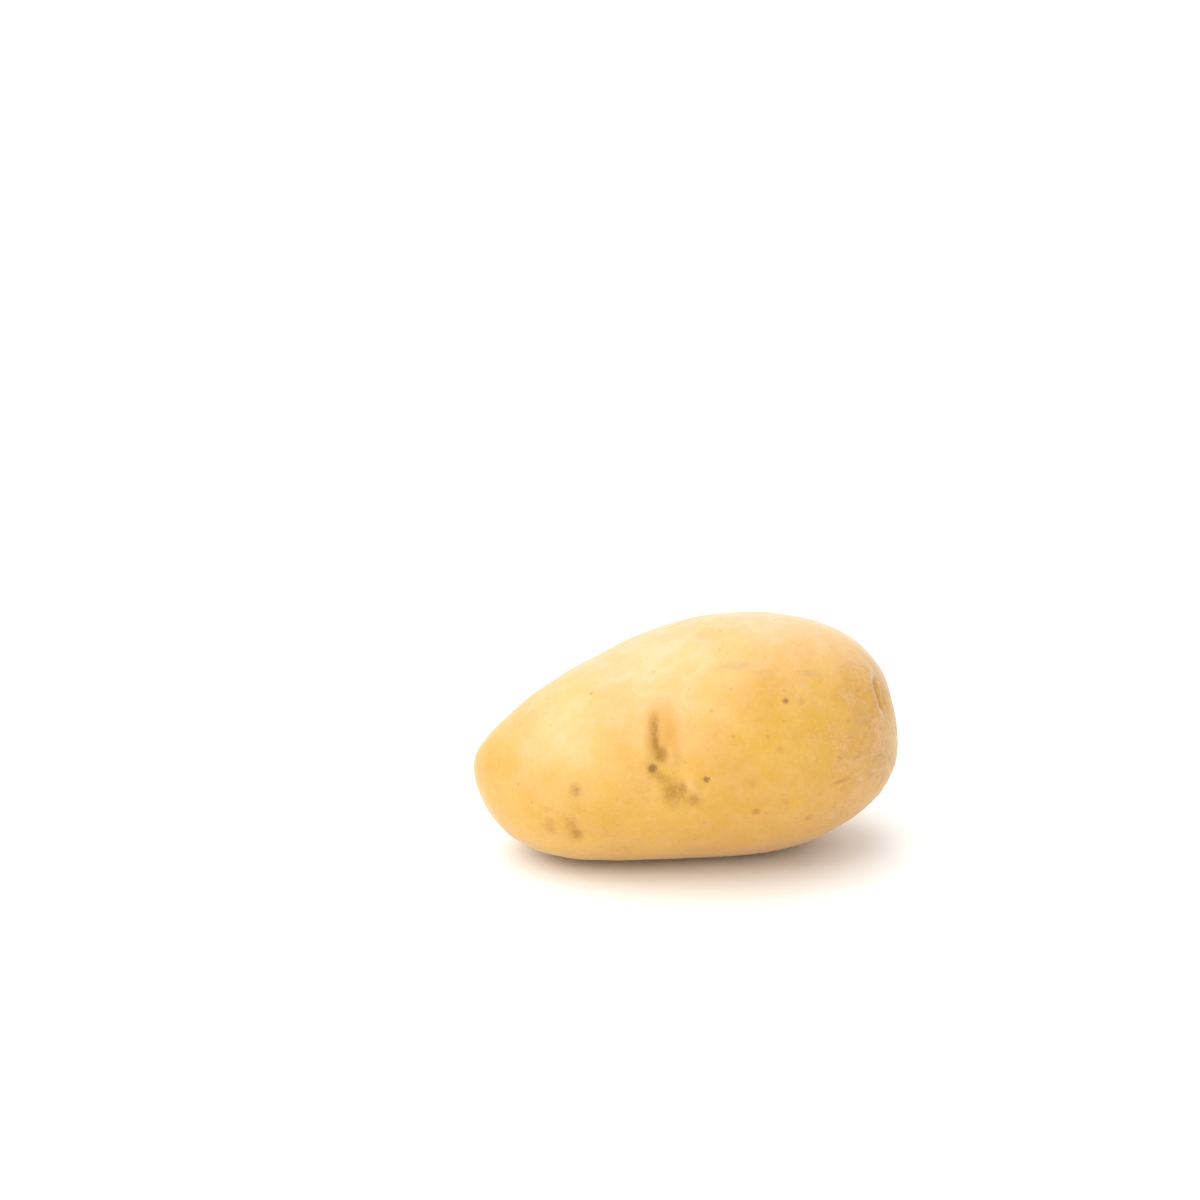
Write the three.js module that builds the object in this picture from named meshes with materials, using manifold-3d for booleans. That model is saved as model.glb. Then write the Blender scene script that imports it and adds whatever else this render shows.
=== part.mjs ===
// One oval yellow potato, lying on its flatter side.
// Millimetres, +Z up. The heel, where the stolon joined the tuber, points to -X. The rose end,
// where the eyes crowd together, points to +X. The tuber rests on a small flat at z = 0, and
// the origin is at the middle of its footprint.

import * as THREE from 'three';
import { mergeVertices } from 'three/addons/utils/BufferGeometryUtils.js';
import Module from 'manifold-3d';

const wasm = await Module();
wasm.setup();

// Driving dimensions

const LENGTH = 97;
const GRID_DETAIL = 19; // splits of each edge of the 20-sided sphere that the skin is stretched from
const FULLNESS = 0.98; // 1 makes the cross-sections ellipses, less makes their corners fuller
const REST_DEPTH = 0.5; // how far the flat that it rests on cuts into the belly
const SKIN_COLOUR = '#e8b866';
const SKIN_ROUGHNESS = 0.5;

// Cross-sections at even steps of angle, from the heel tip (0 degrees) to the rose tip (180).
// sway and rise are the sideways place and the height of the section's middle. wide and tall
// are its half sizes divided by the sine of the angle: equal ones all along make an ellipsoid.
const SECTIONS = [
  { sway: 0.6, rise: 21.0, wide: 25.5, tall: 23.5 },
  { sway: 0.3, rise: 19.0, wide: 27.0, tall: 24.0 },
  { sway: 0.0, rise: 22.1, wide: 28.8, tall: 24.2 },
  { sway: 0.6, rise: 26.9, wide: 30.2, tall: 26.7 },
  { sway: 0.8, rise: 28.2, wide: 32.0, tall: 30.3 },
  { sway: 0.2, rise: 28.8, wide: 34.5, tall: 34.2 },
  { sway: -0.4, rise: 24.5, wide: 36.5, tall: 38.0 },
];

// A place on the skin is x, in mm from the heel tip, and an angle round the long axis: 0 faces
// -Y, 90 faces up, 180 faces +Y and -90 faces down.

// Broad swellings (height above 0) and hollows (height below 0) that take the tuber off the
// smooth oval. long and round are their reaches along the tuber and round it.
const SWELLINGS = [
  { x: 43, angle: 22, height: -1.1, long: 8, round: 24 },
  { x: 26, angle: 62, height: 0.4, long: 12, round: 13 },
  { x: 66, angle: 58, height: 0.5, long: 14, round: 14 },
  { x: 18, angle: -46, height: 1.4, long: 8, round: 9 },
  { x: 29, angle: 165, height: 0.9, long: 12, round: 15 },
  { x: 58, angle: 172, height: -1.0, long: 9, round: 20 },
  { x: 78, angle: -160, height: 0.7, long: 12, round: 13 },
  { x: 80, angle: 150, height: -0.7, long: 9, round: 11 },
  { x: 60, angle: -116, height: -0.6, long: 9, round: 9 },
];

// Eyes: a shallow hollow with a raised brow on its heel side. width runs round the tuber,
// along the brow, and lean turns the eye about its own middle, in degrees.
const EYES = [
  { x: 42, angle: 14, width: 18, depth: 1.3, lean: -12 },
  { x: 91, angle: 44, width: 10, depth: 0.9, lean: 8 },
  { x: 29, angle: 150, width: 12, depth: 0.9, lean: 6 },
  { x: 59, angle: 172, width: 15, depth: 1.2, lean: -8 },
  { x: 80, angle: 142, width: 11, depth: 0.9, lean: 5 },
  { x: 62, angle: -114, width: 12, depth: 0.9, lean: 10 },
  { x: 86, angle: -142, width: 10, depth: 0.8, lean: -5 },
];

// Proportions that all eyes share, as shares of an eye's width or depth.
const HOLLOW_LENGTH = 0.16;
const HOLLOW_WIDTH = 0.3;
const BROW_HEIGHT = 0.45;
const BROW_GAP = 0.2;
const BROW_THICKNESS = 0.12;
const BROW_CURVE = 0.5;

// The smooth oval

const splines = {};
for (const key of Object.keys(SECTIONS[0])) {
  const points = SECTIONS.map((section, i) => new THREE.Vector2(i, section[key]));
  splines[key] = new THREE.SplineCurve(points);
}

// The point of the oval at a turn from the heel tip (0) to the rose tip (PI), and an angle
// round the long axis, both in radians.
function ovalPoint(turn, angle) {
  const section = (key) => splines[key].getPoint(turn / Math.PI).y;
  const fuller = (value) => Math.sign(value) * Math.abs(value) ** FULLNESS;
  return new THREE.Vector3(
    (1 - Math.cos(turn)) * LENGTH / 2,
    section('sway') - fuller(Math.cos(angle)) * section('wide') * Math.sin(turn),
    section('rise') + fuller(Math.sin(angle)) * section('tall') * Math.sin(turn),
  );
}

// A sphere of near-equal triangles, stretched to the oval.
function ovalGeometry() {
  const sphere = new THREE.IcosahedronGeometry(1, GRID_DETAIL);
  sphere.deleteAttribute('normal');
  sphere.deleteAttribute('uv');
  const geometry = mergeVertices(sphere);
  const place = geometry.getAttribute('position');
  const vertex = new THREE.Vector3();
  for (let i = 0; i < place.count; i++) {
    vertex.fromBufferAttribute(place, i);
    const turn = Math.acos(THREE.MathUtils.clamp(-vertex.x, -1, 1));
    const angle = Math.atan2(vertex.z, -vertex.y);
    place.setXYZ(i, ...ovalPoint(turn, angle));
  }
  geometry.computeVertexNormals();
  return geometry;
}

// Swellings, hollows and eyes

// The point of the oval at a place on the skin, with the directions along the tuber, round it
// and out of it there.
function siteAt({ x, angle: degrees }) {
  const turn = Math.acos(1 - 2 * x / LENGTH);
  const angle = THREE.MathUtils.degToRad(degrees);
  const step = 0.01;
  const point = ovalPoint(turn, angle);
  const along = ovalPoint(turn + step, angle).sub(ovalPoint(turn - step, angle)).normalize();
  const round = ovalPoint(turn, angle + step).sub(ovalPoint(turn, angle - step)).normalize();
  const out = new THREE.Vector3().crossVectors(along, round).normalize();
  round.crossVectors(out, along);
  return { point, along, round, out };
}

const bell = (...ratios) => Math.exp(-ratios.reduce((sum, ratio) => sum + ratio * ratio, 0) / 2);

function swellingHeight({ height, long, round }, u, v) {
  return height * bell(u / long, v / round);
}

// u runs along the tuber and v round it, from the eye's middle.
function eyeHeight({ width, depth, lean }, u, v) {
  const turn = THREE.MathUtils.degToRad(lean);
  const along = (u * Math.cos(turn) + v * Math.sin(turn)) / width;
  const across = (v * Math.cos(turn) - u * Math.sin(turn)) / width;
  const browLine = BROW_CURVE * across * across - BROW_GAP;
  const hollow = bell(along / HOLLOW_LENGTH, across / HOLLOW_WIDTH);
  const brow = bell((along - browLine) / BROW_THICKNESS, across / HOLLOW_WIDTH);
  return depth * (BROW_HEIGHT * brow - hollow);
}

// Moves every vertex in or out along the smooth oval's normal.
function shapeSkin(geometry) {
  const marks = [
    ...SWELLINGS.map((swelling) => ({ heightAt: swellingHeight, shape: swelling })),
    ...EYES.map((eye) => ({ heightAt: eyeHeight, shape: eye })),
  ].map((mark) => ({ ...mark, site: siteAt(mark.shape) }));
  const place = geometry.getAttribute('position');
  const normals = geometry.getAttribute('normal');
  const vertex = new THREE.Vector3();
  const normal = new THREE.Vector3();
  const offset = new THREE.Vector3();
  for (let i = 0; i < place.count; i++) {
    vertex.fromBufferAttribute(place, i);
    normal.fromBufferAttribute(normals, i);
    let height = 0;
    for (const { heightAt, shape, site } of marks) {
      const facing = Math.max(0, normal.dot(site.out)); // keeps a mark off the tuber's other side
      offset.subVectors(vertex, site.point);
      height += facing * heightAt(shape, offset.dot(site.along), offset.dot(site.round));
    }
    vertex.addScaledVector(normal, height);
    place.setXYZ(i, ...vertex);
  }
  return geometry;
}

// The flat that it rests on

function solidOf(geometry) {
  return new wasm.Manifold(new wasm.Mesh({
    numProp: 3,
    vertProperties: geometry.getAttribute('position').array,
    triVerts: new Uint32Array(geometry.index.array),
  }));
}

function geometryOf(solid) {
  const { vertProperties, triVerts } = solid.getMesh();
  return new THREE.BufferGeometry()
    .setAttribute('position', new THREE.BufferAttribute(vertProperties, 3))
    .setIndex(new THREE.BufferAttribute(triVerts, 1));
}

// Cuts off everything lower than REST_DEPTH above the lowest point.
function cutRestFace(geometry) {
  geometry.computeBoundingBox();
  const blockSide = 2 * LENGTH;
  const block = new THREE.BoxGeometry(blockSide, blockSide, blockSide);
  block.deleteAttribute('normal');
  block.deleteAttribute('uv');
  block.translate(LENGTH / 2, 0, geometry.boundingBox.min.z + REST_DEPTH - blockSide / 2);
  return geometryOf(solidOf(geometry).subtract(solidOf(mergeVertices(block))));
}

// Puts the middle of the bounding box's base at the origin.
function standOnOrigin(geometry) {
  geometry.computeBoundingBox();
  const middle = geometry.boundingBox.getCenter(new THREE.Vector3());
  return geometry.translate(-middle.x, -middle.y, -geometry.boundingBox.min.z);
}

const skin = shapeSkin(ovalGeometry());
const potato = new THREE.Mesh(
  standOnOrigin(cutRestFace(skin)),
  new THREE.MeshStandardMaterial({ color: SKIN_COLOUR, roughness: SKIN_ROUGHNESS, metalness: 0 }),
);
potato.name = 'potato';

const group = new THREE.Group();
group.add(potato);

export default group;
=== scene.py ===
# One raw yellow potato, washed and unpeeled, on a pale table under soft studio light.

import math

import bpy
import numpy as np
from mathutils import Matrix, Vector


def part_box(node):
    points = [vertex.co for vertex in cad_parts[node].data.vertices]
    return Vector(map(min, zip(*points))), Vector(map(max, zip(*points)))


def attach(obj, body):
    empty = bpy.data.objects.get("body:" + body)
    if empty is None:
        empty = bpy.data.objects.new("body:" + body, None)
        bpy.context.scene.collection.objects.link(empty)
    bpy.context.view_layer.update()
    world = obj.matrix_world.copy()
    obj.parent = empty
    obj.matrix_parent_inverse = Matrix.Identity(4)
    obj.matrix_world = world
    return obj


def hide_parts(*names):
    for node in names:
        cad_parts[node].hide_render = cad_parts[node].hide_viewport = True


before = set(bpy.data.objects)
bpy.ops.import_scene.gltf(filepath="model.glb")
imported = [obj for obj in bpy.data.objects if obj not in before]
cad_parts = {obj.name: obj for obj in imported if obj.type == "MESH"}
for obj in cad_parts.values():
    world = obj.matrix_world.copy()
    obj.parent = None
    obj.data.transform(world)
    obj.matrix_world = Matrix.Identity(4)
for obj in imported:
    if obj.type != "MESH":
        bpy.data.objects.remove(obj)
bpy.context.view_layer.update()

# ---- The tuber -----------------------------------------------------------------------------
# A potato is one solid body, swollen at the end of an underground stem. Its narrow heel hung
# from that stem and its blunt rose end grew on, away from it. The surface starts as a ball of
# six sides, cut into even faces, that is drawn onto the solid and smoothed.

MM = 0.001
SOLID = "potato"
BALL_CUTS = 6  # times that each side of the ball is halved both ways
SMOOTH_STEPS = 6
LUMP_SIZE = 14 * MM
LUMP_HEIGHT = 0.3 * MM
RIPPLE_SIZE = 4.5 * MM
RIPPLE_HEIGHT = 0.08 * MM

low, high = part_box(SOLID)
middle = (low + high) / 2
half_size = (high - low) / 2


def only(piece):
    """Leaves this piece alone selected and active."""
    bpy.ops.object.select_all(action="DESELECT")
    piece.select_set(True)
    bpy.context.view_layer.objects.active = piece


def apply_modifier(piece, kind, **settings):
    only(piece)
    modifier = piece.modifiers.new(kind.title(), kind)
    for name, value in settings.items():
        setattr(modifier, name, value)
    bpy.ops.object.modifier_apply(modifier=modifier.name)


def smooth_copy_of(node):
    """A copy of a solid with its loose triangles joined and its facets rounded off."""
    piece = bpy.data.objects.new("form", node.data.copy())
    bpy.context.collection.objects.link(piece)
    only(piece)
    bpy.ops.object.mode_set(mode="EDIT")
    bpy.ops.mesh.select_all(action="SELECT")
    bpy.ops.mesh.remove_doubles(threshold=0.001 * MM)
    bpy.ops.object.mode_set(mode="OBJECT")
    apply_modifier(piece, "SUBSURF", levels=1, render_levels=1)
    return piece


def swell(piece, size, height):
    """Uneven growth: soft lumps of about this size and height."""
    clouds = bpy.data.textures.new("lumps", "CLOUDS")
    clouds.noise_scale = size
    clouds.noise_depth = 1
    apply_modifier(piece, "DISPLACE", texture=clouds, strength=2 * height, mid_level=0.5)


form = smooth_copy_of(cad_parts[SOLID])

bpy.ops.object.select_all(action="DESELECT")
bpy.ops.mesh.primitive_cube_add(size=2)
skin = bpy.context.object
skin.name = "potato_skin"
skin.data.uv_layers[0].name = "OFBake"
bpy.ops.object.mode_set(mode="EDIT")
bpy.ops.mesh.mark_seam()
for _ in range(BALL_CUTS):
    bpy.ops.mesh.subdivide(number_cuts=1)
bpy.ops.transform.tosphere(value=1)
bpy.ops.object.mode_set(mode="OBJECT")
skin.scale = half_size / skin.data.vertices[0].co.length
skin.location = middle
bpy.ops.object.transform_apply(location=True, rotation=False, scale=True)
apply_modifier(
    skin, "SHRINKWRAP", target=form, wrap_method="PROJECT", use_negative_direction=True
)
bpy.data.objects.remove(form)
apply_modifier(skin, "SMOOTH", factor=0.5, iterations=SMOOTH_STEPS)
bpy.ops.object.mode_set(mode="EDIT")
bpy.ops.mesh.select_all(action="SELECT")
bpy.ops.uv.select_all(action="SELECT")
bpy.ops.uv.unwrap(method="CONFORMAL", margin=0.01)
bpy.ops.uv.average_islands_scale()
bpy.ops.uv.pack_islands(margin=0.01)
bpy.ops.object.mode_set(mode="OBJECT")
apply_modifier(skin, "SUBSURF", levels=1, render_levels=1)
swell(skin, LUMP_SIZE, LUMP_HEIGHT)
swell(skin, RIPPLE_SIZE, RIPPLE_HEIGHT)

# ---- The eyes ------------------------------------------------------------------------------
# An eye is where a scale leaf sat. The leaf left a brow, an arched crease with a low ridge on
# its heel side, and behind the brow a few buds sit in a shallow hollow. The eyes run round the
# tuber in a spiral, wide apart at the heel and crowded at the rose end.

# A place on the skin is x, in mm from the heel tip, and an angle round the long axis, in
# degrees: 0 faces -Y, 90 faces up, 180 faces +Y and -90 faces down.

POINT_STEP = 0.25 * MM  # between the points that a stroke is followed by
SPLINE_STEPS = 12  # between two marks of a stroke
STROKE_REACH = 4.0  # crease widths past which a stroke moves nothing
CREASE_SPREAD = 0.5  # reach of a crease's hollow, in crease widths
END_FADE = 0.7  # under 1, a stroke keeps most of its depth nearly to its ends
DAB_REACH = 2.0  # widths past which a dab moves nothing
DAB_STEEPNESS = 2.2  # a dab has nearly faded out at its own width


def bell(ratio):
    return np.exp(-ratio * ratio / 2)


def cast(x, angle):
    """The point and outward direction of the skin, by a ray from the middle of its section."""
    place = low.x + x * MM
    tops = skin.ray_cast(Vector((place, middle.y, 1)), Vector((0, 0, -1)))
    bases = skin.ray_cast(Vector((place, middle.y, -1)), Vector((0, 0, 1)))
    start = (tops[1] + bases[1]) / 2
    turn = math.radians(angle)
    _, point, normal, _ = skin.ray_cast(start, Vector((0, -math.cos(turn), math.sin(turn))))
    return np.array(point), np.array(normal)


def radius_at(x):
    """Half the thickness of the tuber there, in mm."""
    upper = cast(x, 90)[0]
    lower = cast(x, -90)[0]
    return np.linalg.norm(upper - lower) / MM / 2


def curve_through(marks):
    """Even points of a smooth line through a few marks, as a Catmull-Rom spline."""
    marks = np.array([marks[0], *marks, marks[-1]], float)
    line = []
    for before, start, end, after in zip(marks, marks[1:], marks[2:], marks[3:]):
        for t in np.linspace(0, 1, SPLINE_STEPS, endpoint=False):
            line.append(0.5 * (
                2 * start
                + (end - before) * t
                + (2 * before - 5 * start + 4 * end - after) * t ** 2
                + (3 * start - before - 3 * end + after) * t ** 3
            ))
    return np.array([*line, marks[-1]])


class Sculpture:
    """The skin's vertices, and the marks that are being made on them."""

    def __init__(self, piece):
        count = len(piece.data.vertices)
        self.piece = piece
        self.places = np.empty(count * 3)
        piece.data.vertices.foreach_get("co", self.places)
        self.places = self.places.reshape(-1, 3)
        self.normals = np.empty(count * 3)
        piece.data.vertex_normals.foreach_get("vector", self.normals)
        self.normals = self.normals.reshape(-1, 3)
        self.heights = np.zeros(count)
        self.stains = {}

    def near(self, points, reach):
        """The vertices within reach of a line's points, with the nearest point of each."""
        inside = np.all(
            (self.places > points.min(0) - reach) & (self.places < points.max(0) + reach), 1
        )
        chosen = np.flatnonzero(inside)
        gaps = np.linalg.norm(self.places[chosen, None] - points[None], axis=2)
        nearest = gaps.argmin(1)
        kept = gaps[np.arange(len(chosen)), nearest] < reach
        return chosen[kept], nearest[kept]

    def raise_by(self, chosen, heights):
        self.heights[chosen] += heights

    def stain(self, name, chosen, strengths):
        layer = self.stains.setdefault(name, np.zeros(len(self.heights)))
        layer[chosen] = np.maximum(layer[chosen], strengths)

    def finish(self):
        self.places += self.normals * self.heights[:, None]
        self.places[:, 2] = np.maximum(self.places[:, 2], 0)
        self.piece.data.vertices.foreach_set("co", self.places.ravel())
        for name, layer in self.stains.items():
            attribute = self.piece.data.attributes.new(name, "FLOAT", "POINT")
            attribute.data.foreach_set("value", layer.astype(np.float32))
        self.piece.data.update()


work = Sculpture(skin)


def stroke(marks, width, depth, lip=0.0, lip_gap=1.6, lip_width=1.0, stain=None, shade=1.0,
           tint=1.2):
    """A crease along a line of (x, angle) marks, which fades out at both ends. Its width, depth
    and lip are in mm. A lip above 0 is a ridge on its left, seen from outside and looking along
    the line, and one below 0 is on its right. The lip's gap and width and the width of the tint
    are in crease widths."""
    line = curve_through(marks)
    sites = [cast(x, angle) for x, angle in line]
    points = np.array([point for point, _ in sites])
    normals = np.array([normal for _, normal in sites])
    lengths = np.r_[0, np.cumsum(np.linalg.norm(np.diff(points, axis=0), axis=1))]
    even = np.arange(0, lengths[-1], POINT_STEP)
    points = np.array([np.interp(even, lengths, column) for column in points.T]).T
    normals = np.array([np.interp(even, lengths, column) for column in normals.T]).T
    ways = np.gradient(points, axis=0)
    sides = np.cross(normals, ways)
    sides /= np.linalg.norm(sides, axis=1)[:, None]
    chosen, nearest = work.near(points, width * MM * STROKE_REACH)
    offsets = work.places[chosen] - points[nearest]
    aside = (offsets * sides[nearest]).sum(1) / MM / width
    along = nearest / (len(points) - 1)
    fade = np.sin(np.pi * along) ** END_FADE
    crease = -depth * MM * bell(aside / CREASE_SPREAD) * fade
    ridge = abs(lip) * MM * bell((aside - math.copysign(lip_gap, lip)) / lip_width) * fade
    work.raise_by(chosen, crease + ridge)
    if stain:
        work.stain(stain, chosen, shade * bell(aside / tint * 2) * fade)


def dab(x, angle, width, height, length=None, lean=0.0, stain=None, shade=1.0):
    """A round or oval bump (height above 0) or pit (below 0). width runs round the tuber and
    length along it, in mm, before the lean turns them."""
    point, normal = cast(x, angle)
    length = length or width
    turn = math.radians(lean)
    along = np.array([1.0, 0.0, 0.0])
    along -= normal * normal[0]
    along /= np.linalg.norm(along)
    across = np.cross(normal, along)
    chosen, _ = work.near(point[None], max(width, length) * MM * DAB_REACH)
    offsets = (work.places[chosen] - point) / MM
    u = offsets @ along
    v = offsets @ across
    u, v = u * math.cos(turn) + v * math.sin(turn), v * math.cos(turn) - u * math.sin(turn)
    w = offsets @ normal
    away = np.sqrt((u / length) ** 2 + (v / width) ** 2 + (w / width) ** 2)
    shape = bell(away * DAB_STEEPNESS)
    work.raise_by(chosen, height * MM * shape)
    if stain:
        work.stain(stain, chosen, shade * shape)


# The large eye on the front. Its brow runs down from the shoulder as a step, with the shaded
# wall on its rose side, and turns towards the rose end below its darkest point.
dab(43.5, 24, 12, -0.8, length=6.5)
# Orange-brown painted shade on the brow's shaded wall, on its rose side.
dab(41.6, 24.5, 11, 0, length=4.2, stain="blush_and_shade", shade=1.0)
stroke([(40.2, 37), (39.7, 29), (39.6, 21), (40.5, 13)], 2.0, 0.8, lip=-0.7, lip_gap=1.3)
stroke([(39.6, 35), (39.1, 28), (39.2, 21), (40.2, 15)], 1.0, 0.3, stain="crease", shade=0.65,
       tint=1.5)
dab(39.3, 20.5, 4.4, -0.1, length=1.4, stain="crease", shade=0.8)
dab(40.4, 14.8, 3.4, -0.3, length=2.4, stain="crease", shade=0.95)
stroke([(39.2, 13), (38.6, 9), (40.2, 5), (43.4, 0)], 1.1, 0.4, lip=-0.3, stain="crease", shade=0.5,
       tint=2.0)
stroke([(41.5, 4), (44.4, -2), (48.4, -8.5)], 2.2, 0.9, lip=-0.6, lip_gap=1.3)
dab(42.6, -3.2, 5.6, 0, length=5.0, stain="crease", shade=0.65)
dab(44.8, -2.6, 3.6, -0.2, length=2.2, stain="crease", shade=0.75)
dab(47.4, -8.0, 3.2, -0.2, length=3.6, stain="crease", shade=0.6)
dab(38.5, 9.6, 1.7, -0.4, stain="speck", shade=0.9)
# Pale on the raised buds is a painted highlight, where they catch the light.
dab(42.6, 12.6, 3.8, 0.8, length=2.8, stain="pale", shade=0.6)
dab(46.6, -1.4, 3.6, 0.8, length=3.0, stain="pale", shade=0.4)
dab(50.1, 1, 1.3, -0.15, stain="speck", shade=0.9)


def eye(x, angle, width, lean=0.0, strength=1.0):
    """A shallow eye: an arched crease with a brow, a hollow behind it and three buds. width
    runs round the tuber, in mm, and its features' places and lengths are shares of it. The
    creases' widths, and all depths and heights, are in mm."""
    per_mm = math.degrees(1 / radius_at(x))
    tilt = math.radians(lean)

    def at(along, across):
        u = along * math.cos(tilt) - across * math.sin(tilt)
        v = across * math.cos(tilt) + along * math.sin(tilt)
        return x + u, angle + v * per_mm

    def arch(gap, bow, reach):
        steps = np.linspace(-1, 1, 5)
        return [at(bow * width * step ** 2 - gap * width, reach * width * step) for step in steps]

    # The hollow and the brow take the orange-brown that paints the large eye's shade.
    hollow = at(0.08 * width, 0)
    dab(*hollow, 0.85 * width, -0.8 * strength, length=0.6 * width, lean=lean, stain="blush_and_shade",
        shade=0.45 * strength)
    brow = arch(0.14, 0.17, 0.5)
    stroke(brow, 1.7, 0.7 * strength, lip=0.6 * strength, lip_gap=1.4, stain="blush_and_shade",
           shade=0.8 * strength, tint=2.2)
    fold = arch(0.13, 0.17, 0.42)
    stroke(fold, 0.8, 0.3 * strength, stain="crease", shade=0.75 * strength, tint=1.5)
    bud_line = arch(-0.1, 0.1, 0.22)
    stroke(bud_line, 0.9, 0.35 * strength, stain="crease", shade=0.45 * strength)
    for across, size in ((0, 1.0), (-0.24, 0.7), (0.22, 0.75)):
        bud = at(0.04 * width, across * width)
        dab(*bud, 0.24 * width * size, 0.7 * size * strength, length=0.18 * width * size)
    pit = at(-0.12 * width, -0.05 * width)
    dab(*pit, 1.5, -0.2 * strength, stain="speck", shade=0.5 * strength)


eye(91.2, 46, 9, lean=10, strength=0.9)
eye(29, 150, 12, lean=8, strength=0.9)
eye(59, 172, 15, lean=-8, strength=1.1)
eye(80, 142, 11, lean=6)
eye(62, -114, 12, lean=10, strength=0.9)
eye(86, -142, 10, lean=-6)
eye(94.5, -80, 7, lean=5, strength=0.8)
eye(95.4, 160, 6, lean=-10, strength=0.8)
eye(94.6, 100, 6, lean=12, strength=0.7)
eye(11, -150, 7, lean=0, strength=0.5)

# The small eye low on the front, near the heel.
stroke([(18.9, -6), (20.2, -12), (21.1, -17), (22.5, -24)], 1.8, 0.6, lip=-0.45, lip_gap=1.4)
dab(20.9, -14.5, 4.6, -0.1, length=2.6, stain="crease", shade=0.5)
dab(22.0, -20.5, 3.2, -0.25, length=2.6, stain="crease", shade=0.75)
dab(16.2, -15.5, 4.2, -0.15, length=3.8, stain="crease", shade=0.5)
stroke([(13.6, -2), (15.4, -5), (17.4, -4)], 1.2, 0.15, stain="crease", shade=0.35)

# ---- The marks of the ground ---------------------------------------------------------------
# Stones, tools and its neighbours leave specks, short scratches and dull grey rubs on a tuber.
# Its skin is coloured unevenly, with a painted highlight over its top, and its heel keeps the scar
# of its stem.

SPECKS = [  # x, angle, width, strength
    (68, 33, 1.4, 0.7), (71.5, 33, 3.0, 0.3), (66.3, 12, 2.2, 0.35), (80.6, 4, 2.0, 0.4),
    (60.1, -2, 4.4, 0.3), (61.3, -17, 2.0, 0.5), (68, -14, 2.6, 0.3), (73.7, -27, 2.4, 0.4),
    (21.7, 6, 3.6, 0.45), (30.3, 17, 1.6, 0.25), (4.4, 7, 1.8, 0.3), (57.4, 84, 1.4, 0.4),
    (67.2, 82, 1.4, 0.4), (12.5, 28, 1.2, 0.35), (52, -24, 1.3, 0.3), (33, 46, 1.1, 0.3),
    (48, -163, 1.6, 0.6), (37, 171, 1.3, 0.45), (71, -172, 2.2, 0.4), (23, -168, 1.8, 0.4),
    (52, 131, 1.4, 0.6), (86, 168, 1.6, 0.5), (40, -134, 2.0, 0.4), (15, 138, 1.4, 0.45),
    (67, 119, 1.2, 0.4), (76, -118, 1.5, 0.5), (44, -80, 1.6, 0.4), (90, -20, 1.4, 0.45),
]
SPECK_DEPTH = 0.1
for x, angle, width, strength in SPECKS:
    dab(x, angle, width, -SPECK_DEPTH * strength, stain="speck", shade=strength)

RUBS = [  # x, angle, length, width, strength
    (57, 51, 8.5, 2.6, 0.75), (63.6, 47, 4, 2, 0.55), (74, 47, 5.5, 1.8, 0.6),
    (40, 57, 1.8, 4, 0.4), (51.4, 76, 5.5, 4.5, 0.45), (85, 22, 6.5, 1.4, 0.35),
    (35, -150, 9, 5, 0.5), (70, 150, 6, 8, 0.5), (48, 118, 7, 3, 0.45), (22, 165, 5, 3, 0.4),
]
RUB_DEPTH = 0.06
for x, angle, length, width, strength in RUBS:
    dab(x, angle, width, -RUB_DEPTH, length=length, stain="rub", shade=strength)

SCRATCHES = [  # marks along the line, and strength
    ([(77.8, -9), (80.5, -9.6), (83.4, -9)], 0.6),
    ([(84, 20), (87, 21), (89.5, 20)], 0.35),
    ([(83.5, 25), (86, 26.5), (88, 26)], 0.3),
    ([(30, -34), (33, -32), (37, -33)], 0.3),
    ([(44, 95), (47, 99), (48, 105)], 0.4),
    ([(66, -160), (70, -155), (76, -156)], 0.45),
    ([(36, -120), (38, -112), (43, -108)], 0.4),
    ([(20, 110), (23, 104), (28, 102)], 0.3),
]
SCRATCH_WIDTH = 0.9
SCRATCH_DEPTH = 0.2
for marks, strength in SCRATCHES:
    stroke(marks, SCRATCH_WIDTH, SCRATCH_DEPTH * strength, stain="crease", shade=strength)

# Broad colour: pale cream over the top and shoulder as a painted highlight, a pale patch on the
# back, tan and netting at the rose end.
PALE_AND_HIGHLIGHT = [  # x, angle, length, width, strength
    (40, 70, 34, 30, 1.0), (68, 88, 34, 28, 1.0), (19, 42, 22, 20, 0.8), (30, -165, 40, 40, 0.6),
]
for x, angle, length, width, strength in PALE_AND_HIGHLIGHT:
    dab(x, angle, width, 0, length=length, stain="pale", shade=strength)

NETTED = [  # x, angle, length, width, strength
    (90, 0, 20, 26, 1.0), (93, 60, 14, 20, 0.7), (91, 180, 22, 30, 1.0),
    (92, -90, 18, 28, 1.0), (70, -50, 16, 10, 0.5), (10, -60, 14, 16, 0.5),
    (38, -178, 16, 14, 0.6), (64, 140, 18, 16, 0.5), (24, -135, 18, 16, 0.6),
    (50, -166, 22, 16, 0.6),
]
for x, angle, length, width, strength in NETTED:
    dab(x, angle, width, 0, length=length, stain="netted", shade=strength)

# The stem's scar near the heel tip: a low uneven collar round a corky pit, with the stub of the
# stem's thread in the middle of the pit. Its radii are shares of SCAR_WIDTH.
SCAR_BACK = 6 * MM  # behind the tuber's middle
SCAR_RISE = 18 * MM  # above the table
SCAR_WIDTH = 4.5 * MM
COLLAR_HEIGHT = 0.35 * MM
PIT_DEPTH = 1.1 * MM
STUB_HEIGHT = 0.7 * MM

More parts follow.
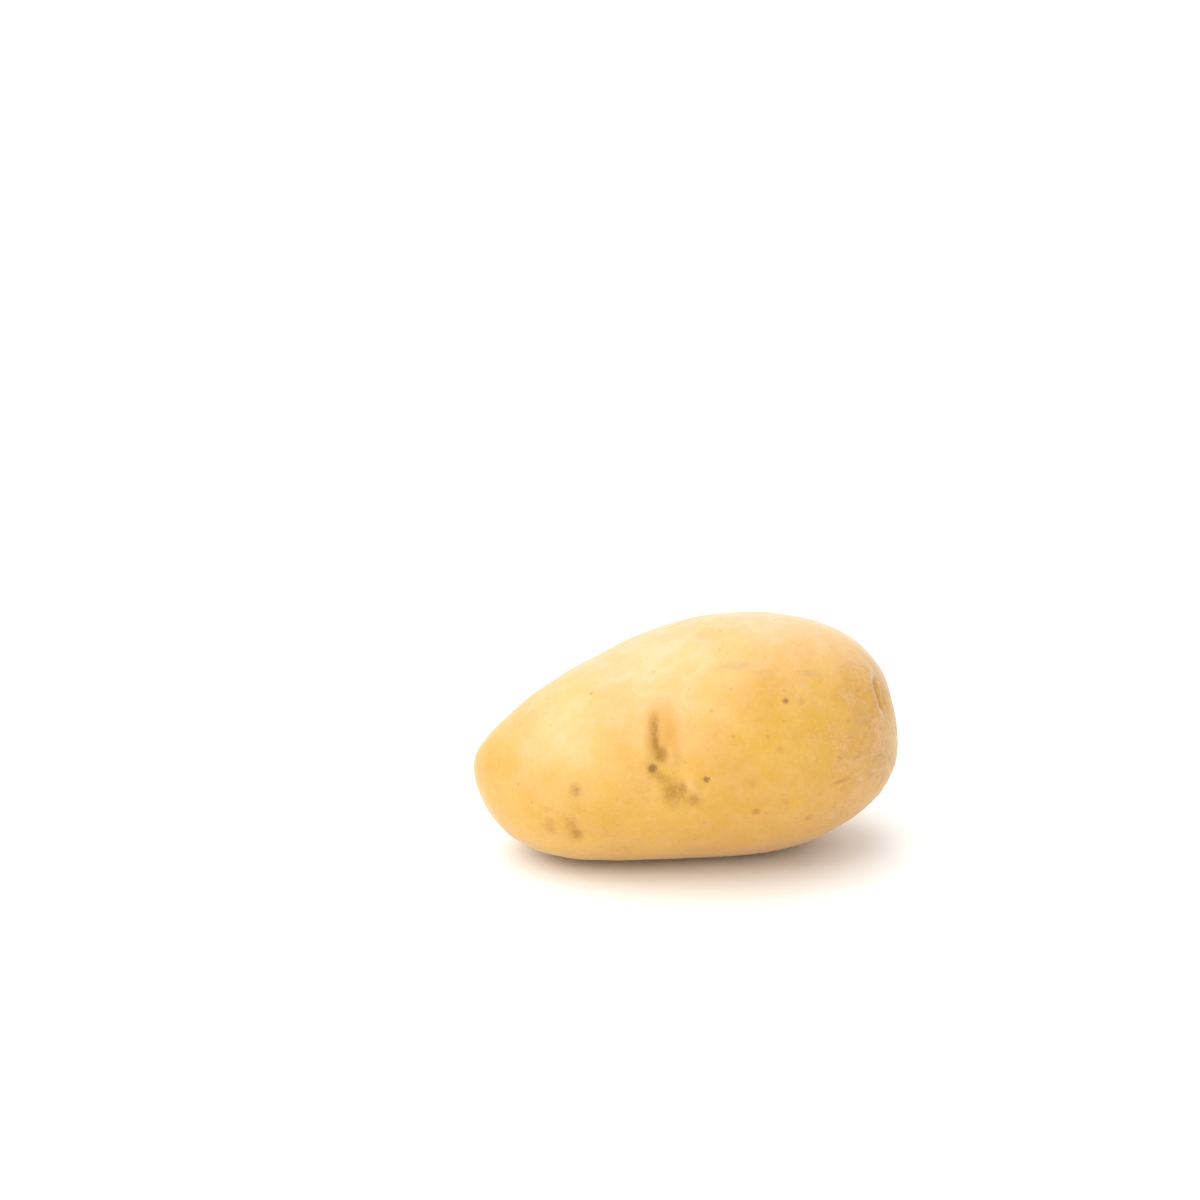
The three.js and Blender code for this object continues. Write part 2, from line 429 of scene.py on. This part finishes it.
_, scar, _, _ = skin.ray_cast(
    Vector((-1, middle.y + SCAR_BACK, low.z + SCAR_RISE)), Vector((1, 0, 0))
)
scar = np.array(scar)
chosen, _ = work.near(scar[None], 2 * SCAR_WIDTH)
offsets = (work.places[chosen] - scar) / SCAR_WIDTH
turns = np.arctan2(offsets[:, 2], offsets[:, 1])
uneven = 1 + 0.14 * np.sin(2 * turns + 0.7) + 0.1 * np.sin(3 * turns + 2) + 0.06 * np.sin(7 * turns)
away = np.linalg.norm(offsets, axis=1) * uneven
collar = bell((away - 0.68) / 0.2) * (0.75 + 0.35 * np.sin(turns - 1))
pit = bell(away / 0.3)
stub = bell(away / 0.11)
pit_edge = bell((away - 0.36) / 0.1) * uneven
work.raise_by(chosen, COLLAR_HEIGHT * collar - PIT_DEPTH * pit + STUB_HEIGHT * stub)
work.stain("cork", chosen, 0.8 * bell(away / 0.42))
work.stain("crease", chosen, 0.75 * pit_edge)

work.finish()

# ---- The skin ------------------------------------------------------------------------------
# Potato skin is a few layers of thin cork over yellow flesh, which glows through it. Washed, it
# is smooth with a soft waxy sheen, duller where it is netted, rubbed or corky.

bpy.ops.object.shade_smooth()
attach(skin, "root")
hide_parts(SOLID)


def feed(tree, socket, value):
    """Sets a socket to a value, or links it to the socket that the value comes from."""
    if isinstance(value, bpy.types.NodeSocket):
        tree.links.new(value, socket)
    else:
        socket.default_value = value


def node(tree, kind, inputs=None, **settings):
    """A shader node with its settings made and its inputs fed."""
    made = tree.nodes.new("ShaderNode" + kind)
    for name, value in settings.items():
        setattr(made, name, value)
    for name, value in (inputs or {}).items():
        feed(tree, made.inputs[name], value)
    return made


def maths(tree, operation, *values):
    return node(tree, "Math", dict(enumerate(values)), operation=operation).outputs[0]


def step_between(tree, value, start, end):
    """0 below start and 1 above end, with a smooth step between. It falls if end is lower."""
    limits = {"Value": value, "From Min": start, "From Max": end}
    return node(tree, "MapRange", limits, interpolation_type="SMOOTHSTEP").outputs["Result"]


def new_group(name, inputs, output):
    """An empty node group with a place, number inputs and one mask output."""
    tree = bpy.data.node_groups.new(name, "ShaderNodeTree")
    tree.interface.new_socket("Place", in_out="INPUT", socket_type="NodeSocketVector")
    for key, value in inputs.items():
        socket = tree.interface.new_socket(key, in_out="INPUT", socket_type="NodeSocketFloat")
        socket.default_value = value
    tree.interface.new_socket(output, in_out="OUTPUT", socket_type="NodeSocketFloat")
    return tree, tree.nodes.new("NodeGroupInput").outputs, tree.nodes.new("NodeGroupOutput").inputs


def use_group(tree, group, inputs):
    made = tree.nodes.new("ShaderNodeGroup")
    made.node_tree = group
    for name, value in inputs.items():
        feed(tree, made.inputs[name], value)
    return made.outputs[0]


def wandering(tree, place, per_metre, detail, reach):
    """A place moved about by noise, so that what is drawn there loses its even shape."""
    noise = node(tree, "TexNoise", {"Vector": place, "Scale": per_metre, "Detail": detail})
    shift = node(tree, "VectorMath", {0: noise.outputs["Color"], "Scale": reach}, operation="SCALE")
    return node(tree, "VectorMath", {0: place, 1: shift.outputs[0]}, operation="ADD").outputs[0]


# Soft patches: noise of a given grain, cut off at a level.
tree, given, wanted = new_group(
    "patches", {"Per Metre": 60.0, "Level": 0.5, "Edge": 0.1}, "Patches"
)
cloud = node(tree, "TexNoise", {
    "Vector": given["Place"], "Scale": given["Per Metre"], "Detail": 3.0, "Roughness": 0.55,
})
lower = maths(tree, "SUBTRACT", given["Level"], given["Edge"])
upper = maths(tree, "ADD", given["Level"], given["Edge"])
feed(tree, wanted["Patches"], step_between(tree, cloud.outputs["Fac"], lower, upper))
patches = tree

# Pores: round dots of uneven size, with some of them left out.
tree, given, wanted = new_group("pores", {"Per Metre": 200.0, "Size": 0.12, "Kept": 0.5}, "Pores")
cells = node(tree, "TexVoronoi", {
    "Vector": wandering(tree, given["Place"], 900.0, 1.0, 0.7 * MM), "Scale": given["Per Metre"],
})
chance = node(tree, "SeparateColor", {"Color": cells.outputs["Color"]})
reach = maths(tree, "MULTIPLY", given["Size"], chance.outputs["Green"])
dots = step_between(tree, cells.outputs["Distance"], reach, 0.0)
kept = maths(tree, "LESS_THAN", chance.outputs["Red"], given["Kept"])
feed(tree, wanted["Pores"], maths(tree, "MULTIPLY", dots, kept))
pores = tree

# Netting: fine branching lines between uneven cells, as the stretched skin cracks and heals.
tree, given, wanted = new_group("netting", {"Per Metre": 400.0, "Line": 0.08}, "Netting")
cells = node(tree, "TexVoronoi", {
    "Vector": wandering(tree, given["Place"], 700.0, 4.0, 2.2 * MM), "Scale": given["Per Metre"],
}, feature="DISTANCE_TO_EDGE")
feed(tree, wanted["Netting"], step_between(tree, cells.outputs["Distance"], given["Line"], 0.0))
netting = tree

# Flakes: torn-edged patches where the thin outer skin rubbed away while it was young.
tree, given, wanted = new_group(
    "flakes", {"Per Metre": 150.0, "Level": 0.53, "Edge": 0.02}, "Flakes"
)
torn = node(tree, "TexNoise", {
    "Vector": given["Place"], "Scale": given["Per Metre"], "Detail": 6.0, "Roughness": 0.62,
    "Distortion": 0.5,
})
over = maths(tree, "ADD", given["Level"], given["Edge"])
feed(tree, wanted["Flakes"], step_between(tree, torn.outputs["Fac"], given["Level"], over))
flakes = tree

# Stains: one that was laid on the skin, with its edge broken up by noise.
tree, given, wanted = new_group(
    "stain", {"Laid": 0.0, "Per Metre": 900.0, "Low": 0.1, "High": 0.8}, "Stain"
)
rough = node(tree, "TexNoise", {
    "Vector": given["Place"], "Scale": given["Per Metre"], "Detail": 3.0,
})
broken = maths(tree, "MULTIPLY", given["Laid"], maths(tree, "ADD", rough.outputs["Fac"], 0.5))
feed(tree, wanted["Stain"], step_between(tree, broken, given["Low"], given["High"]))
stain = tree

AMBER = (0.67, 0.375, 0.032)
DEEP = (0.60, 0.29, 0.018)
PALE_SKIN_AND_HIGHLIGHT = (0.82, 0.56, 0.34)
TAN = (0.60, 0.34, 0.11)
PINK = (0.72, 0.44, 0.20)
RUSSET = (0.40, 0.21, 0.07)
PORE = (0.42, 0.24, 0.08)
BLUSH_AND_SHADE = (0.60, 0.29, 0.025)
CREASE = (0.34, 0.145, 0.006)
SPECK = (0.21, 0.09, 0.003)
RUB = (0.44, 0.31, 0.10)
CORK = (0.47, 0.23, 0.05)

material = bpy.data.materials.new("potato skin")
material.use_nodes = True
tree = material.node_tree
shader = tree.nodes["Principled BSDF"]
place = node(tree, "TexCoord").outputs["Object"]


def laid(name):
    """The strength of a mark that was laid on the skin."""
    return node(tree, "Attribute", attribute_name=name).outputs["Fac"]


def covering(group, **inputs):
    """A mask from one of the groups, such as per_metre=45 for its input Per Metre."""
    named = {name.replace("_", " ").title(): value for name, value in inputs.items()}
    return use_group(tree, group, {"Place": place, **named})


def stained(name, per_metre, low, high):
    return covering(stain, laid=laid(name), per_metre=per_metre, low=low, high=high)


def coloured(base, colour, mask, amount):
    """The base colour, turned this much to another one where the mask says."""
    made = node(tree, "Mix", data_type="RGBA")
    sockets = {s.name: s for s in made.inputs if s.type == "RGBA" or s.identifier == "Factor_Float"}
    feed(tree, sockets["Factor"], maths(tree, "MULTIPLY", mask, amount))
    for key, value in (("A", base), ("B", colour)):
        feed(tree, sockets[key], (*value, 1) if isinstance(value, tuple) else value)
    return next(s for s in made.outputs if s.type == "RGBA")


def total(start, *shares):
    """The start, plus each mask times its amount."""
    for mask, amount in shares:
        start = maths(tree, "MULTIPLY_ADD", mask, amount, start)
    return start


rose_end = laid("netted")
broad = covering(patches, per_metre=45.0, level=0.5, edge=0.14)
small = covering(patches, per_metre=200.0, level=0.5, edge=0.16)
fine = covering(patches, per_metre=1100.0, level=0.5, edge=0.22)
net_patches = covering(patches, per_metre=85.0, level=0.5, edge=0.12)
net_lines = covering(netting, per_metre=560.0, line=0.15)
wide_net = covering(netting, per_metre=190.0, line=0.045)
flaked = covering(flakes, per_metre=150.0, level=0.53, edge=0.03)
flake_rim = covering(flakes, per_metre=150.0, level=0.515, edge=0.02)
small_pores = covering(pores, per_metre=330.0, size=0.27, kept=0.7)
dark_pores = covering(pores, per_metre=120.0, size=0.12, kept=0.55)
rub = stained("rub", 700.0, 0.1, 0.9)
blush_and_shade = stained("blush_and_shade", 500.0, 0.05, 1.0)
crease = stained("crease", 1100.0, 0.05, 0.95)
speck = stained("speck", 1600.0, 0.15, 0.7)
cork = stained("cork", 1100.0, 0.1, 0.9)

patchy = total(0.15, (rose_end, 0.85))
net_share = maths(tree, "MULTIPLY", net_patches, patchy)
net = maths(tree, "MULTIPLY", net_lines, net_share)
crack = maths(tree, "MULTIPLY", wide_net, net_share)
flake = maths(tree, "MULTIPLY", flaked, patchy)
rim = maths(tree, "MULTIPLY", maths(tree, "SUBTRACT", flake_rim, flaked), patchy)
pale = maths(tree, "MULTIPLY", laid("pale"), total(1.0, (small, 0.5)))

colour = coloured(AMBER, DEEP, broad, 0.6)
colour = coloured(colour, PALE_SKIN_AND_HIGHLIGHT, small, 0.12)
colour = coloured(colour, DEEP, fine, 0.35)
# Painted highlight: pale cream over the top, the shoulder and the large eye's buds, and a pale
# patch on the back.
colour = coloured(colour, PALE_SKIN_AND_HIGHLIGHT, pale, 0.4)
colour = coloured(colour, TAN, rose_end, 0.3)
colour = coloured(colour, PINK, flake, 0.5)
colour = coloured(colour, RUSSET, rim, 0.3)
colour = coloured(colour, RUSSET, net, 0.4)
colour = coloured(colour, RUSSET, crack, 0.3)
colour = coloured(colour, RUB, rub, 0.6)
colour = coloured(colour, PORE, small_pores, 0.6)
colour = coloured(colour, SPECK, dark_pores, 0.6)
# Painted shade: orange-brown on the large eye's shaded wall, and the same tint in the other eyes'
# hollows and brows.
colour = coloured(colour, BLUSH_AND_SHADE, blush_and_shade, 0.75)
colour = coloured(colour, SPECK, speck, 0.8)
colour = coloured(colour, CORK, cork, 0.8)
colour = coloured(colour, CREASE, crease, 0.85)
feed(tree, shader.inputs["Base Color"], colour)

feed(tree, shader.inputs["Roughness"], total(
    0.42, (small, 0.08), (fine, 0.06), (flake, 0.15), (net_share, 0.12), (rub, 0.1), (crease, 0.25),
    (cork, 0.35),
))

height = total(
    0.0, (fine, 0.15), (small, 0.35), (net, 0.3), (crack, -0.3), (flake, -0.35), (rim, 0.3),
    (small_pores, 0.45), (dark_pores, -0.8), (maths(tree, "MULTIPLY", cork, fine), 1.5),
)
relief = node(tree, "Bump", {"Height": height, "Strength": 0.8, "Distance": 0.12 * MM})
feed(tree, shader.inputs["Normal"], relief.outputs["Normal"])

shader.inputs["Sheen Weight"].default_value = 0.3
shader.inputs["Sheen Roughness"].default_value = 0.45
shader.inputs["Coat Weight"].default_value = 0.15
shader.inputs["Coat Roughness"].default_value = 0.3

skin.data.materials.append(material)

# ---- The table, the light and the camera ---------------------------------------------------
# A wide matt white table in a bright room, with a large soft box above on the left, a smaller
# one at the front left and one behind. The camera looks a little down through a long lens.

FLOOR_SIZE = 12.0
TABLE_WHITE = (0.93, 0.93, 0.93, 1)
TABLE_ROUGHNESS = 0.7
bpy.ops.mesh.primitive_plane_add(size=FLOOR_SIZE)
floor = bpy.context.object
floor.name = "floor"
table = bpy.data.materials.new("pale table")
table.use_nodes = True
paint = table.node_tree.nodes["Principled BSDF"]
paint.inputs["Base Color"].default_value = TABLE_WHITE
paint.inputs["Roughness"].default_value = TABLE_ROUGHNESS
floor.data.materials.append(table)

world = bpy.data.worlds.new("studio")
bpy.context.scene.world = world
world.use_nodes = True
FILL = 0.64  # the room's light on things, while the camera sees it as full white
glow = world.node_tree.nodes["Background"]
glow.inputs["Color"].default_value = (1, 1, 1, 1)
seen = world.node_tree.nodes.new("ShaderNodeLightPath")
strength = world.node_tree.nodes.new("ShaderNodeMapRange")
strength.inputs["To Min"].default_value = FILL
strength.inputs["To Max"].default_value = 1.0
world.node_tree.links.new(seen.outputs["Is Camera Ray"], strength.inputs["Value"])
world.node_tree.links.new(strength.outputs["Result"], glow.inputs["Strength"])


def soft_light(name, direction, spread, strength):
    """A wide soft box far away, which lights the whole table evenly."""
    light = bpy.data.lights.new(name, "SUN")
    light.angle = math.radians(spread)
    light.energy = strength
    lamp = bpy.data.objects.new(name, light)
    bpy.context.collection.objects.link(lamp)
    lamp.rotation_euler = Vector(direction).to_track_quat("Z", "Y").to_euler()


soft_light("top light", (-0.42, 0.05, 0.91), 80, 2.15)
soft_light("side light", (-0.45, -0.75, 0.48), 50, 1.0)
soft_light("back light", (0.1, 0.8, 0.6), 80, 0.85)

AZIMUTH = math.radians(-6)
ELEVATION = math.radians(20)
DISTANCE = 0.686
LENS = 90
SENSOR = 36
# The potato sits right of the frame's middle and below it, by these shares of the frame.
RIGHT_SHARE = 0.0725
LOW_SHARE = 0.11

back = Vector((
    math.sin(AZIMUTH) * math.cos(ELEVATION),
    -math.cos(AZIMUTH) * math.cos(ELEVATION),
    math.sin(ELEVATION),
))
right = Vector((math.cos(AZIMUTH), math.sin(AZIMUTH), 0))
up = back.cross(right)
frame_width = DISTANCE * SENSOR / LENS
aim = middle - right * RIGHT_SHARE * frame_width + up * LOW_SHARE * frame_width

camera = bpy.data.objects.new("camera", bpy.data.cameras.new("camera"))
bpy.context.collection.objects.link(camera)
camera.data.lens = LENS
camera.data.sensor_width = SENSOR
camera.location = middle + back * DISTANCE
camera.rotation_euler = (aim - camera.location).to_track_quat("-Z", "Y").to_euler()
bpy.context.scene.camera = camera
bpy.context.scene.view_settings.view_transform = "Standard"
